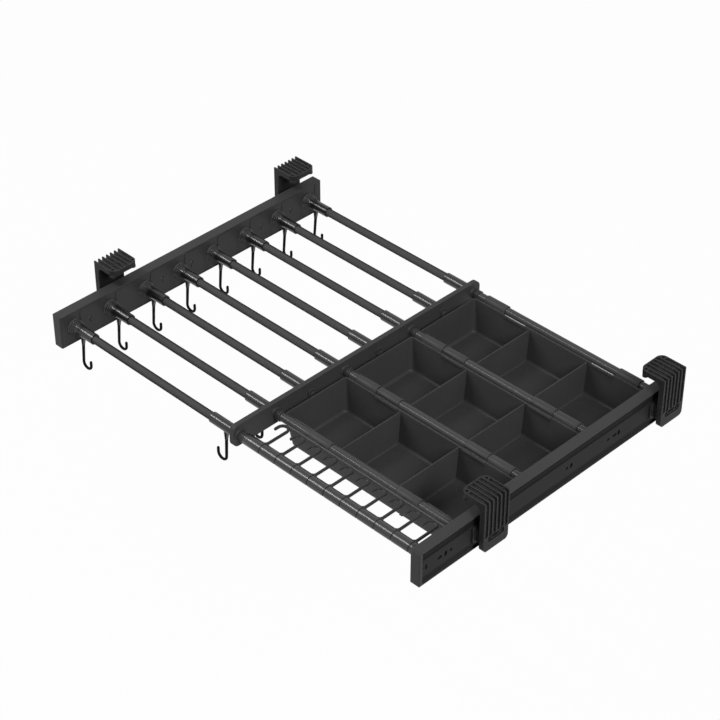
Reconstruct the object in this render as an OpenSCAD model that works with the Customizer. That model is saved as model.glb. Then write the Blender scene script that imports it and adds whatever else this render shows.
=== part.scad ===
// Pull-out trouser rack for a wardrobe. Two side beams ride on full-extension ball slides
// that hang on four ribbed brackets under a shelf. The left bay carries eight trouser bars
// with hook sleeves; the right bay carries three lift-out trays and a tie-hook strip.
// Millimetres. +X right, +Y to the back, +Z up. The origin is in the middle of the shelf
// screws, on the face that meets the shelf.

/* [Rack] */
// Width over the outer sides of the two side beams
rack_w = 700; // [600:1:1000]
// Length of a side beam with its end caps, front to back
beam_len = 500; // [460:1:620]
// Height of a side beam
beam_h = 52; // [50:1:60]
// Wall of a side beam's web
beam_web_t = 1.5; // [1:0.1:2.5]
// Wall of a side beam's top and bottom flanges
beam_flange_t = 1.3; // [1:0.1:2.4]
// Thickness of the front end cap
front_cap_t = 5; // [3:0.5:5]
// Thickness of the rear end cap
rear_cap_t = 4; // [2:0.5:6]
// Distance from a beam's end to the axis of the first bar
end_inset = 25; // [22:0.5:30]

/* [Ball slides] */
// Height of a slide
slide_h = 45; // [43:0.5:46]
// Depth of a slide
slide_d = 12.5; // [12.2:0.1:13.5]
// Sheet thickness of the slide members
sheet_t = 1.2; // [1:0.1:1.3]
// Diameter of a ball
ball_d = 3; // [2.6:0.1:3.2]
// Sheet thickness of a ball cage
cage_t = 0.6; // [0.5:0.1:0.7]
// Length of a ball cage
cage_len = 245; // [160:1:250]
// Running gap between slide members, cages and balls
run_gap = 0.3; // [0.2:0.05:0.4]
// Gap between the beam's front end and the slide
slide_front_gap = 5.5; // [5.5:0.1:8]
// Gap between the slide and the beam's rear end
slide_rear_gap = 9.5; // [7:0.1:20]

/* [Brackets] */
// Height of the shelf face above the beams
shelf_gap = 33.5; // [26:0.5:50]
// Width of a bracket along the slide
bracket_w = 45; // [40:0.5:60]
// Thickness of a bracket's plate and flange
bracket_t = 8; // [7:0.5:12]
// Distance of a bracket's outer face outside the beam
bracket_out = 19.5; // [17:0.5:30]
// Reach of a bracket's flange inside the beam's outer side
bracket_reach = 22.5; // [18:0.5:24]
// Height of a bracket's plate
bracket_h = 78; // [76:0.5:90]
// Distance from the beam's front end to the middle of the front bracket
bracket_front_inset = 116; // [90:1:160]
// Distance from the beam's rear end to the middle of the rear bracket
bracket_rear_inset = 38; // [36:1:60]
// Depth of the grooves between the ribs
rib_depth = 3; // [1:0.5:4]
// Width of a rib
rib_w = 2; // [1.5:0.1:3]
// Diameter of a shelf screw hole
shelf_hole_d = 4.5; // [3.5:0.1:5]

/* [Bars and tubes] */
// Diameter of a trouser bar and of a cross tube
bar_d = 12; // [10:0.5:13]
// Wall of a cross tube
tube_wall = 1.2; // [0.8:0.1:2]
// Thickness of the middle beam
mid_beam_t = 7; // [5:0.5:12]
// Height of the middle beam
mid_beam_h = 34; // [26:0.5:40]
// Distance from a side beam's end to the middle beam's end
mid_beam_inset = 13; // [8:0.5:14]

/* [Hook sleeves] */
// Length of a hook sleeve
sleeve_len = 45; // [42:0.5:60]
// Wall of a hook sleeve
sleeve_wall = 1.9; // [1:0.1:2.4]
// Thickness of a hook's stem
hook_d = 3.2; // [2.2:0.1:4]
// Width of a hook between the middle of its stem and the middle of its tip
hook_gap = 16.1; // [12:0.1:18]
// Depth of a hook below the bar's axis
hook_drop = 63; // [50:0.5:80]

/* [Trays] */
// Clearance between a tray's rim and the beams beside it
tray_side_gap = 8.4; // [6:0.1:14]
// Clearance between a tray's rim and the axis of a tube
tray_tube_gap = 7.3; // [7:0.1:9]
// Depth of a tray
tray_h = 51; // [30:0.5:70]
// Wall of a tray
tray_wall = 2; // [1.5:0.1:3]
// Thickness of a tray's dividers
divider_t = 1.6; // [1.2:0.1:3]
// Width of one tray clip
clip_w = 38; // [20:0.5:39]
// Gap between a tray clip and its tube
clip_gap = 0.3; // [0.2:0.05:0.5]
// Wall of a tray clip
clip_wall = 2; // [1.5:0.1:2.5]

/* [Tie-hook strip] */
// Thickness of a tie hook
tie_t = 2.4; // [1.6:0.1:4]
// Height of a tie hook
tie_h = 5; // [3:0.5:7]
// Distance between two tie hooks
tie_pitch = 29.6; // [26:0.1:30]
// Width of a tie hook between the middles of its two legs
tie_gap = 15.4; // [12:0.1:18]
// Gap between the ends of the tie hooks and the next tube
tie_tube_gap = 5.3; // [4:0.1:12]

/* [Hidden] */
bar_names = ["1", "2", "3", "4", "5", "6", "7", "8"];
bar_n = len(bar_names);
tube_slots = [0, 1, 3, 5, 7];
$fn = 64;

// Clearances and the overrun that every cut takes past a face
fit_gap = 0.05;
cut_over = 1;

// Where the beams lie
axis_z = -(shelf_gap + beam_h/2);
bracket_pitch = beam_len - bracket_front_inset - bracket_rear_inset;
beam_y0 = -bracket_pitch/2 - bracket_front_inset;
beam_y1 = beam_y0 + beam_len;
bar_pitch = (beam_len - 2*end_inset)/(bar_n - 1);
bar_r = bar_d/2;
function bar_y(i) = beam_y0 + end_inset + i*bar_pitch;
function tube_y(k) = bar_y(tube_slots[k]);

// Section of a beam: u runs inwards from the beam's open outer side, z from the bar axis
slide_inset = 0.4;
strip_t = 2.2;
bay_floor_t = 1.4;
web_u0 = slide_inset + slide_d;
web_u1 = web_u0 + beam_web_t;
bay_u = web_u1 + bay_floor_t;
beam_d = web_u1 + strip_t;
edge_r = 0.6;

// Section of a slide
slide_y0 = beam_y0 + slide_front_gap;
slide_y1 = beam_y1 - slide_rear_gap;
slide_len = slide_y1 - slide_y0;
joggle = 1;
sheet_bend_r = 2;
cab_bend_r = 2.6;
track_half = 13.25;
race_gap = ball_d + 2*run_gap;
cab_half = slide_h/2;
cab_in = cab_half - sheet_t;
mid_half = cab_in - race_gap;
mid_in = mid_half - sheet_t;
drw_half = mid_in - race_gap;
drw_in = drw_half - sheet_t;
cab_u0 = slide_inset + joggle;
cage1_u0 = cab_u0 + sheet_t + run_gap;
mid_u0 = cage1_u0 + cage_t + run_gap;
cage2_u0 = mid_u0 + sheet_t + run_gap;
drw_u0 = cage2_u0 + cage_t + run_gap;
drw_u1 = web_u0;
cage_strip_w = 5.2;
cab_u1 = cage1_u0 + cage_strip_w + run_gap + sheet_t;
mid_u1 = cage2_u0 + cage_strip_w + run_gap + sheet_t;
lip_h = 1;
ball_pitch = 20;
ball_n = floor(cage_len/ball_pitch);
cage_y0 = slide_y0 + (slide_len - cage_len)/2;
end_step = 1;

// Round, upright and level holes in the cabinet member, as shares of its length from the front
round_hole_shares = [0.1045, 0.5515, 0.721];
level_slot_shares = [0.0627, 0.7478];
upright_slot_shares = [0.0845, 0.5693, 0.7649];
hole_r = 2.3;
slot_len = 8;
latch_slot_r = 1.4;
latch_slot_len = 8.5;
latch_slot_in = 6.5;
dimple_r = 1.2;
dimple_in = 2.6;
pad_r = 6;
pad_gap = 3.4;

// Screws that hold the slide to the beam's web, one in five of the seven panels
panel_slots = [0, 2, 3, 5, 6];
screw_shift_shares = [-0.09, -0.02, -0.155, -0.017, -0.076];
slide_screw_r = 1.6;
slide_screw_head_r = 3;
slide_screw_z = 3;
access_hole_r = 1.4;
access_hole_drop = 6;
function slide_screw_y(k) =
  (bar_y(panel_slots[k]) + bar_y(panel_slots[k] + 1))/2 + screw_shift_shares[k]*bar_pitch;

// Bays of the socket strips
panel_lead = 10;
panel_trail = 22;
end_panel_gap = 14;
panel_r = 5;
panel_drop = 2.5;
cap_edge_r = 2.4;
strip_gap = 0.1;

// Brackets
bracket_corner_r = 10;
bracket_bend_r = 9;
bracket_fillet_r = 8;
bracket_foot_r = 6;
rib_n = 7;
recess_w = 30;
recess_h = 9.5;
recess_r = 3;
recess_drop = 0.75;
surround_w = 1.2;
surround_in = 1.4;
plate_slot_len = 14;
plate_slot_r = 2.6;
shelf_hole_in = 7;
shelf_boss_r = 4.2;
shelf_boss_h = 4;
neck_w = 39;
neck_h = 22;
neck_pocket_w = 20;
neck_pocket_h = 9;
neck_pocket_d = 5;
foot_w = 47;
foot_h = 25.4;
foot_t = 3;
foot_r = 4;
rivet_r = 2;
rivet_head_r = 3.4;
rivet_head_t = 0.6;
rivet_len = 8;
rivet_y = 14;

// Bars, tubes and middle beam
spigot_r = 4;
stud_r = 2;
stud_len = 12;
plug_len = 14;
mid_corner_r = 10;
mid_edge_r = 1;
socket_len = 12;
socket_wall = 1.3;
socket_root_r = 9;
socket_root_len = 3;
boss_r = 6;
boss_t = 2.2;
bar_screw_head_r = 3.4;
bar_screw_head_t = 1.6;

// Hook sleeves
flare_r = 13;
flare_len = 16;
mid_flare_r = 8.6;
mid_flare_len = 3;
sleeve_r = bar_r + sleeve_wall;
ridge_t = 0.7;
ridge_h = 0.6;
ridge_n = 3;
ridge_pitch = 2.6;
left_stem_top = 16.9;
left_stem_low = 13;
mid_stem_top = 19.4;
mid_stem_low = 21.6;
hook_r = hook_d/2;
bend_r = hook_gap/2;
bend_z = hook_drop - hook_r - bend_r;
tip_len = 6;
wedge_half = 4.5;
wedge_h = 16;

// Trays
tray_corner_r = 12;
rim_t = 2;
rim_over_x = 4;
rim_over_y = 1.5;
tray_draft = 4.6;
tray_foot_r = 5;
corner_steps = 6;
divider_drop = 3;
divider_n = 2;
foot_bump_r = 2.4;
foot_bump_h = 1;
foot_bump_in = 16;
clip_end_in = 17.55;
clip_between = 3;
clip_leg = 1.6;
clip_notch_gap = 1;
tray_x0 = mid_beam_t/2 + tray_side_gap;
tray_x1 = rack_w/2 - beam_d - tray_side_gap;
tray_xc = (tray_x0 + tray_x1)/2;
tray_half_x = (tray_x1 - tray_x0)/2;
tray_half_y = bar_pitch - tray_tube_gap;
clip_outer_from = tray_half_x - clip_end_in - clip_w;
clip_inner_from = clip_outer_from - clip_between - clip_w;

// Tie-hook strip
strip_end_in = 4;
strip_wall = 2;
strip_open_z = 3.5;
strip_band = 10.5;
tie_fillet = 4;
tie_tip = 6;
notch_w = 1.6;
notch_d = 0.8;
tie_reach = bar_pitch - bar_r - tie_tube_gap;
tie_bend_y = tie_reach - tie_gap/2 - tie_t/2;
strip_x0 = tray_x0 + strip_end_in;
strip_x1 = tray_x1 - strip_end_in;
tie_n = floor((strip_x1 - strip_x0 - 2*tie_gap)/tie_pitch) + 1;
tie_side_in = ((strip_x1 - strip_x0) - (tie_n - 1)*tie_pitch)/2 + tie_gap*3/8;

// Profile in x and z, drawn out along y
module along_y(y0, y1) {
  translate([0, y1, 0]) rotate([90, 0, 0]) linear_extrude(y1 - y0) children();
}

// Profile in y and z, drawn out along x
module along_x(x0, x1) {
  translate([x0, 0, 0]) rotate([90, 0, 90]) linear_extrude(x1 - x0) children();
}

// Round bar along x
module rod_x(x0, x1, r) {
  translate([x0, 0, 0]) rotate([0, 90, 0]) cylinder(h = x1 - x0, r = r);
}

// Places a piece drawn for the left side; the right side is its mirror image
module on_side(right) {
  if (right) mirror([1, 0, 0]) translate([-rack_w/2, 0, axis_z]) children();
  else translate([-rack_w/2, 0, axis_z]) children();
}

// Rectangle with round corners, from its lower left corner
module round_rect(w, h, r) {
  translate([r, 0]) square([w - 2*r, h]);
  translate([0, r]) square([w, h - 2*r]);
  for (x = [r, w - r], y = [r, h - r]) translate([x, y]) circle(r);
}

// What a round corner of radius r takes off a square one; the corner is at the origin
module corner_cut(r) {
  difference() {
    translate([-cut_over, -cut_over]) square(r + cut_over);
    translate([r, r]) circle(r);
  }
}

// Channel section with its web at u0 and its walls running to u1
module channel(u0, u1, half, t, r) {
  difference() {
    translate([u0, -half]) round_rect(u1 - u0 + r, 2*half, r);
    translate([u0 + t, -half + t]) round_rect(u1 - u0 + r, 2*(half - t), r - t);
    translate([u1, -half - cut_over]) square([r + cut_over, 2*(half + cut_over)]);
  }
}

// Straight slot through a wall along x, its middle at the origin
module slot_x(x0, x1, len, r, upright) {
  half = len/2 - r;
  for (s = [-1, 1])
    translate([0, upright ? 0 : s*half, upright ? s*half : 0]) rod_x(x0, x1, r);
  along_x(x0, x1) square(upright ? [2*r, 2*half] : [2*half, 2*r], center = true);
}

// Slides
module cabinet_profile() {
  channel(cab_u0, cab_u1, cab_half, sheet_t, cab_bend_r);
  for (s = [-1, 1])
    translate([cab_u1 - sheet_t, s*(cab_in - lip_h/2) - lip_h/2]) square([sheet_t, lip_h]);
}

// Ends in y of the pads pressed outwards in the cabinet member's web: one in front, one
// under each bracket foot and one between the feet
function pad_ends() =
  let (front = -bracket_pitch/2, rear = bracket_pitch/2, half = foot_w/2)
  [[slide_y0, front - half - pad_gap], [front - half, front + half],
   [front + half + pad_gap, rear - half - pad_gap], [rear - half, rear + half]];

module cabinet_pads(u0, u1, in) {
  for (p = pad_ends())
    along_x(u0, u1) translate([p[0] + in, -track_half + in])
      panel_shape(p[1] - p[0] - 2*in, 2*(track_half - in), pad_r - in);
}

module cabinet_member(right) {
  color("#8f9296") on_side(right) difference() {
    union() {
      along_y(slide_y0, slide_y1) cabinet_profile();
      cabinet_pads(slide_inset, cab_u0 + sheet_t, 0);
    }
    cabinet_pads(slide_inset + sheet_t, cage1_u0, sheet_t);
    for (f = round_hole_shares)
      translate([0, slide_y0 + f*slide_len, 0]) rod_x(slide_inset - cut_over, cage1_u0, hole_r);
    for (f = level_slot_shares)
      translate([0, slide_y0 + f*slide_len, 0])
        slot_x(slide_inset - cut_over, cage1_u0, slot_len, hole_r, false);
    for (f = upright_slot_shares)
      translate([0, slide_y0 + f*slide_len, 0])
        slot_x(slide_inset - cut_over, cage1_u0, slot_len, hole_r, true);
    translate([0, slide_y0 + latch_slot_in, 0])
      slot_x(slide_inset - cut_over, cage1_u0, latch_slot_len, latch_slot_r, true);
    translate([0, slide_y0 + dimple_in, 0]) rod_x(slide_inset - cut_over, cage1_u0, dimple_r);
    for (b = [-1, 1], y = [-rivet_y, rivet_y])
      translate([0, b*bracket_pitch/2 + y, 0])
        rod_x(slide_inset - cut_over, cage1_u0, rivet_r + fit_gap);
  }
}

module intermediate_member(right) {
  color("#9a9da1") on_side(right) along_y(slide_y0 + end_step, slide_y1 - end_step) {
    channel(mid_u0, mid_u1, mid_half, sheet_t, sheet_bend_r);
    for (s = [-1, 1])
      translate([mid_u1 - sheet_t, s*(mid_in - lip_h/2) - lip_h/2]) square([sheet_t, lip_h]);
  }
}

module drawer_member(right) {
  color("#a6a9ad") on_side(right) difference() {
    along_y(slide_y0, slide_y1)
      translate([drw_u0 + drw_u1, 0]) mirror([1, 0])
        channel(drw_u0, drw_u1, drw_half, sheet_t, sheet_bend_r);
    for (k = [0 : len(panel_slots) - 1])
      translate([0, slide_screw_y(k), slide_screw_z])
        rod_x(drw_u1 - sheet_t - cut_over, drw_u1 + cut_over, slide_screw_r + fit_gap);
  }
}

// Cage with two rows of balls; z is the height of the rows from the middle
module ball_cage(right, u0, z) {
  color("#c9b45a") on_side(right) {
    along_y(cage_y0, cage_y0 + cage_len) {
      translate([u0, -z - cage_t/2]) square([cage_t, 2*z + cage_t]);
      for (s = [-1, 1])
        translate([u0, s*z - cage_t/2]) square([cage_strip_w, cage_t]);
    }
    for (s = [-1, 1], i = [0 : ball_n - 1])
      translate([u0 + cage_strip_w/2 + cage_t/2,
                 cage_y0 + (i + 1/2)*cage_len/ball_n, s*z])
        sphere(ball_d/2, $fn = 24);
  }
}

// Beams
module beam_profile() {
  difference() {
    translate([0, -beam_h/2]) round_rect(beam_d, beam_h, edge_r);
    translate([-cut_over, -beam_h/2 + beam_flange_t])
      square([web_u0 + cut_over, beam_h - 2*beam_flange_t]);
    translate([web_u1, -beam_h/2 + beam_flange_t])
      square([strip_t + cut_over, beam_h - 2*beam_flange_t]);
  }
}

module beam(right) {
  color("#4a4d51") on_side(right) difference() {
    along_y(beam_y0 + front_cap_t, beam_y1 - rear_cap_t) beam_profile();
    for (i = [0 : bar_n - 1])
      translate([0, bar_y(i), 0]) rod_x(web_u0 - cut_over, web_u1 + cut_over, spigot_r + fit_gap);
    for (k = [0 : len(panel_slots) - 1])
      translate([0, slide_screw_y(k), slide_screw_z])
        rod_x(web_u0 - cut_over, web_u1 + cut_over, slide_screw_r + fit_gap);
  }
}

module front_cap(right) {
  color("#3b3d40") on_side(right) difference() {
    along_y(beam_y0, beam_y0 + front_cap_t)
      translate([0, -beam_h/2]) round_rect(beam_d, beam_h, edge_r);
    for (u = [0, beam_d])
      translate([u, beam_y0, -beam_h/2 - cut_over])
        mirror([u > 0 ? 1 : 0, 0, 0]) linear_extrude(beam_h + 2*cut_over)
          corner_cut(u > 0 ? cap_edge_r : 2*edge_r);
  }
}

module rear_cap(right) {
  color("#3b3d40") on_side(right) along_y(beam_y1 - rear_cap_t, beam_y1) difference() {
    translate([0, -beam_h/2]) round_rect(beam_d, beam_h, edge_r);
    translate([-cut_over, -beam_h/2 + beam_flange_t])
      square([web_u0 + cut_over, beam_h - 2*beam_flange_t]);
  }
}

// Inner strip of a beam: a thin floor with a raised panel between each two bars
module socket_strip(right) {
  half = beam_h/2 - beam_flange_t;
  color("#54575b") on_side(right) difference() {
    union() {
      along_x(web_u1, bay_u)
        translate([beam_y0 + front_cap_t, -half])
          square([beam_len - front_cap_t - rear_cap_t, 2*half]);
      for (i = [0 : bar_n - 2])
        along_x(web_u1, beam_d)
          translate([bar_y(i) + panel_lead, -half])
            panel_shape(bar_pitch - panel_lead - panel_trail, 2*half - panel_drop, panel_r);
      for (i = [0, 1])
        along_x(web_u1, beam_d)
          translate([i == 0 ? beam_y0 + front_cap_t : bar_y(bar_n - 1) + end_panel_gap, -half])
            square([end_inset - end_panel_gap - (i == 0 ? front_cap_t : rear_cap_t), 2*half]);
    }
    for (i = [0 : bar_n - 1])
      translate([0, bar_y(i), 0]) {
        rod_x(web_u1 - cut_over, bay_u + cut_over, bar_r + fit_gap);
        rod_x(bay_u, beam_d + cut_over, flare_r + fit_gap);
      }
    for (k = [0 : len(panel_slots) - 1])
      translate([0, slide_screw_y(k), slide_screw_z]) {
        rod_x(web_u1 - cut_over, beam_d + cut_over, slide_screw_head_r + fit_gap);
        translate([0, 0, -access_hole_drop])
          rod_x(web_u1, beam_d + cut_over, access_hole_r);
      }
  }
}

// Panel with two round upper corners
module panel_shape(w, h, r) {
  difference() {
    square([w, h]);
    translate([0, h]) mirror([0, 1]) corner_cut(r);
    translate([w, h]) mirror([1, 0]) mirror([0, 1]) corner_cut(r);
  }
}

module middle_beam() {
  y0 = beam_y0 + mid_beam_inset;
  color("#4a4d51") translate([0, 0, axis_z]) difference() {
    union() {
      along_x(-mid_beam_t/2, mid_beam_t/2)
        translate([y0, -mid_beam_h/2])
          round_rect(beam_len - 2*mid_beam_inset, mid_beam_h, mid_corner_r);
      for (i = [0 : bar_n - 1])
        if (!is_tube(i)) translate([0, bar_y(i), 0]) rod_x(0, mid_beam_t/2 + boss_t, boss_r);
    }
    for (i = [0 : bar_n - 1])
      translate([0, bar_y(i), 0]) {
        rod_x(-mid_beam_t, mid_beam_t, stud_r + fit_gap);
        if (!is_tube(i)) rod_x(mid_beam_t/2 + boss_t - bar_screw_head_t, mid_beam_t + boss_t,
                               bar_screw_head_r + fit_gap);
      }
  }
}

// Short sockets on the middle beam that the cross tubes stand in
module tube_sockets() {
  color("#2f3134") for (i = tube_slots)
    translate([mid_beam_t/2, bar_y(i), axis_z])
      sleeve_body(socket_len, bar_r + socket_wall, socket_root_r, socket_root_len);
}

function is_tube(i) = len(search(i, tube_slots)) > 0;

// Bars: the left end has a spigot in the beam's web, the right end a bore for its stud
module trouser_bar(i) {
  color("#6d7074") translate([0, bar_y(i), axis_z]) difference() {
    union() {
      rod_x(-rack_w/2 + web_u1, -mid_beam_t/2, bar_r);
      rod_x(-rack_w/2 + web_u0, -rack_w/2 + web_u1 + cut_over, spigot_r);
    }
    rod_x(-mid_beam_t/2 - stud_len, -mid_beam_t/2 + cut_over, stud_r + fit_gap);
  }
}

module cross_tube(k) {
  x0 = mid_beam_t/2;
  x1 = rack_w/2 - web_u1;
  color("#c3c6ca") translate([0, tube_y(k), axis_z]) {
    difference() {
      rod_x(x0, x1, bar_r);
      rod_x(x0 + plug_len, x1 - plug_len, bar_r - tube_wall);
      rod_x(x0 - cut_over, x0 + stud_len, stud_r + fit_gap);
    }
    rod_x(x1 - cut_over, rack_w/2 - web_u0, spigot_r);
  }
}

// Screws and studs between the bars and the middle beam
module bar_screws() {
  color("#b9bcc0") for (i = [0 : bar_n - 1])
    translate([0, bar_y(i), axis_z])
      if (is_tube(i)) rod_x(-mid_beam_t/2 - stud_len + fit_gap,
                            mid_beam_t/2 + stud_len - fit_gap, stud_r);
      else {
        head_x = mid_beam_t/2 + boss_t - bar_screw_head_t;
        rod_x(-mid_beam_t/2 - stud_len + fit_gap, head_x + fit_gap, stud_r);
        rod_x(head_x, head_x + bar_screw_head_t/2, bar_screw_head_r);
      }
}

module slide_screws() {
  color("#b9bcc0") for (right = [false, true]) on_side(right)
    for (k = [0 : len(panel_slots) - 1])
      translate([0, slide_screw_y(k), slide_screw_z]) {
        rod_x(drw_u1 - sheet_t, web_u1 + fit_gap, slide_screw_r);
        rod_x(web_u1, web_u1 + strip_t/2, slide_screw_head_r);
      }
}

// Hook sleeves, drawn along +x from the face that they stand on
module sleeve_body(length, r, root_r, root_len) {
  drop = root_r - r;
  arc_r = (root_len*root_len + drop*drop)/(2*drop);
  rotate([0, 90, 0]) rotate_extrude() difference() {
    union() {
      square([r, length]);
      square([root_r, root_len]);
    }
    translate([r + arc_r, root_len]) circle(arc_r, $fn = 96);
    translate([0, -cut_over]) square([bar_r + fit_gap, length + 2*cut_over]);
  }
}

// Hook below a sleeve: stem, half-circle bend and a short tip towards +x
module sleeve_hook(stem_top, stem_low) {
  lean = stem_top - stem_low;
  stem_h = bend_z - sleeve_r;
  stem_l = sqrt(lean*lean + stem_h*stem_h);
  translate([stem_low, 0, -bend_z]) {
    rotate([0, atan2(lean, stem_h), 0]) cylinder(h = stem_l, r = hook_r);
    translate([bend_r, 0, 0]) rotate([-90, 0, 0])
      rotate_extrude(angle = 180) translate([bend_r, 0]) circle(hook_r);
    translate([2*bend_r, 0, 0]) cylinder(h = tip_len, r = hook_r);
    translate([2*bend_r, 0, tip_len]) sphere(hook_r);
  }
  translate([0, hook_r, 0]) rotate([90, 0, 0]) linear_extrude(2*hook_r)
    polygon([[stem_top - wedge_half, -bar_r - sleeve_wall/2],
             [stem_top + wedge_half, -bar_r - sleeve_wall/2],
             [stem_top + hook_r - lean*wedge_h/stem_h, -sleeve_r - wedge_h],
             [stem_top - hook_r - lean*wedge_h/stem_h, -sleeve_r - wedge_h]]);
}

module left_hook_sleeve(i) {
  root = bay_u;
  color("#2f3134") translate([-rack_w/2 + root, bar_y(i), axis_z]) {
    sleeve_body(sleeve_len - bay_floor_t, sleeve_r, flare_r, flare_len);
    sleeve_hook(left_stem_top, left_stem_low);
    for (k = [1 : ridge_n]) {
      x = k*ridge_pitch;
      drop = flare_r - sleeve_r;
      arc_r = (flare_len*flare_len + drop*drop)/(2*drop);
      r = sleeve_r + arc_r - sqrt(arc_r*arc_r - (flare_len - x)*(flare_len - x));
      difference() {
        rod_x(x, x + ridge_t, r + ridge_h);
        rod_x(x - cut_over, x + ridge_t + cut_over, bar_r + sleeve_wall/2);
      }
    }
  }
}

module middle_hook_sleeve(i) {
  color("#2f3134") translate([-mid_beam_t/2, bar_y(i), axis_z]) mirror([1, 0, 0]) {
    sleeve_body(sleeve_len, sleeve_r, mid_flare_r, mid_flare_len);
    sleeve_hook(mid_stem_top, mid_stem_low);
  }
}

// Outline of a tray with round corners at one height
function tray_ring(hx, hy, r, z) = [
  for (q = [0 : 3], s = [0 : corner_steps])
    let (a = 90*(q + s/corner_steps),
         sx = (q == 0 || q == 3) ? 1 : -1,
         sy = (q < 2) ? 1 : -1)
    [sx*(hx - r) + r*cos(a), sy*(hy - r) + r*sin(a), z]];

// Solid skin over a list of rings of equal length, closed by a flat face at both ends
module ring_skin(rings) {
  n = len(rings[0]);
  points = [for (ring = rings, p = ring) p];
  sides = [for (j = [0 : len(rings) - 2], i = [0 : n - 1])
    let (a = j*n + i, b = j*n + (i + 1)%n)
    each [[a, a + n, b], [b, a + n, b + n]]];
  first = [for (i = [0 : n - 1]) i];
  last = [for (i = [0 : n - 1]) (len(rings) - 1)*n + n - 1 - i];
  polyhedron(points, concat([first], sides, [last]));
}

module tray_shell() {
  bx = tray_half_x - rim_over_x;
  by = tray_half_y - rim_over_y;
  r = tray_corner_r;
  foot = tray_foot_r;
  floor_z = -tray_h;
  ring_skin([
    tray_ring(bx - tray_draft - foot, by - tray_draft - foot, r - foot/2, floor_z),
    tray_ring(bx - tray_draft - foot/4, by - tray_draft - foot/4, r, floor_z + foot/3),
    tray_ring(bx - tray_draft, by - tray_draft, r, floor_z + foot),
    tray_ring(bx, by, r, -rim_t),
    tray_ring(tray_half_x, tray_half_y, r, -rim_t),
    tray_ring(tray_half_x, tray_half_y, r, 0),
    tray_ring(bx - tray_wall, by - tray_wall, r - tray_wall, 0),
    tray_ring(bx - tray_draft - tray_wall, by - tray_draft - tray_wall, r - tray_wall, floor_z + foot),
    tray_ring(bx - tray_draft - foot/4 - tray_wall, by - tray_draft - foot/4 - tray_wall,
              r - tray_wall, floor_z + foot/3 + tray_wall/2),
    tray_ring(bx - tray_draft - foot - tray_wall/2, by - tray_draft - foot - tray_wall/2,
              r - foot/2 - tray_wall/2, floor_z + tray_wall)]);
}

// Clip over a tube: half a ring, a short leg outside and a foot that runs into the rim at +y
module clip_profile() {
  r0 = bar_r + clip_gap;
  r1 = r0 + clip_wall;
  difference() {
    circle(r1);
    circle(r0);
    translate([-r1 - cut_over, -r1 - cut_over]) square([2*(r1 + cut_over), r1 + cut_over]);
  }
  translate([-r1, -clip_leg]) square([clip_wall, clip_leg]);
  translate([r0, -rim_t]) square([clip_wall + rim_over_y, rim_t]);
}

// Notch in a tray's rim where the next tray's clip comes down
module rim_notch(rear) {
  w = clip_w + 2*clip_notch_gap;
  mirror([0, rear ? 1 : 0, 0]) translate([-w/2, -tray_half_y - cut_over, -rim_t - cut_over])
    cube([w, rim_over_y + cut_over, rim_t + 2*cut_over]);
}

module tray(k) {
  y_mid = (tube_y(k + 1) + tube_y(k + 2))/2;
  top = -divider_drop;
  low = -tray_h + tray_wall/2;
  by = tray_half_y - rim_over_y - tray_wall/2;
  color("#5b5e62") translate([tray_xc, y_mid, axis_z]) {
    difference() {
      tray_shell();
      for (s = [-1, 1], rear = [false, true])
        translate([s*((rear ? clip_inner_from : clip_outer_from) + clip_w/2), 0, 0])
          rim_notch(rear);
    }
    for (d = [-1, 1])
      along_x(d*tray_half_x/(divider_n + 1) - divider_t/2, d*tray_half_x/(divider_n + 1) + divider_t/2)
        polygon([[-by + tray_draft*divider_drop/tray_h, top],
                 [by - tray_draft*divider_drop/tray_h, top],
                 [by - tray_draft, low + tray_foot_r],
                 [by - tray_draft - tray_foot_r, low],
                 [-by + tray_draft + tray_foot_r, low],
                 [-by + tray_draft, low + tray_foot_r]]);
    for (s = [-1, 1]) {
      from = s*(clip_inner_from + clip_w/2);
      translate([0, -bar_pitch, 0]) along_x(from - clip_w/2, from + clip_w/2) clip_profile();
      back = s*(clip_outer_from + clip_w/2);
      translate([0, bar_pitch, 0]) mirror([0, 1, 0])
        along_x(back - clip_w/2, back + clip_w/2) clip_profile();
    }
  }
}

// Tie-hook strip: a lip that snaps over the front tube, with hooks lying level behind it
module tie_comb() {
  square_y = bar_r + strip_wall/2;
  translate([0, square_y]) square([strip_x1 - strip_x0, strip_band - square_y]);
  for (k = [0 : tie_n - 1]) translate([tie_side_in + k*tie_pitch, 0]) {
    translate([-tie_t/2, strip_band - tie_t]) square([tie_t, tie_bend_y - strip_band + tie_t]);
    translate([-tie_gap/2, tie_bend_y]) difference() {
      circle(tie_gap/2 + tie_t/2);
      circle(tie_gap/2 - tie_t/2);
      translate([-tie_gap, -2*tie_gap]) square(2*tie_gap);
    }
    translate([-tie_gap - tie_t/2, tie_bend_y - tie_tip]) square([tie_t, tie_tip]);
    translate([-tie_gap, tie_bend_y - tie_tip]) circle(tie_t/2);
    for (s = [-1, 1]) translate([s*(tie_t/2 + tie_fillet), strip_band + tie_fillet])
      difference() {
        translate([s < 0 ? 0 : -tie_fillet - tie_t/4, -tie_fillet - tie_t/4])
          square([tie_fillet + tie_t/4, tie_fillet + tie_t/4]);
        circle(tie_fillet);
      }
  }
}

module strip_lip() {
  r1 = bar_r + strip_wall;
  difference() {
    circle(r1);
    circle(bar_r + fit_gap);
    translate([-r1, -r1 - strip_open_z]) square([2*r1, r1]);
  }
}

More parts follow.
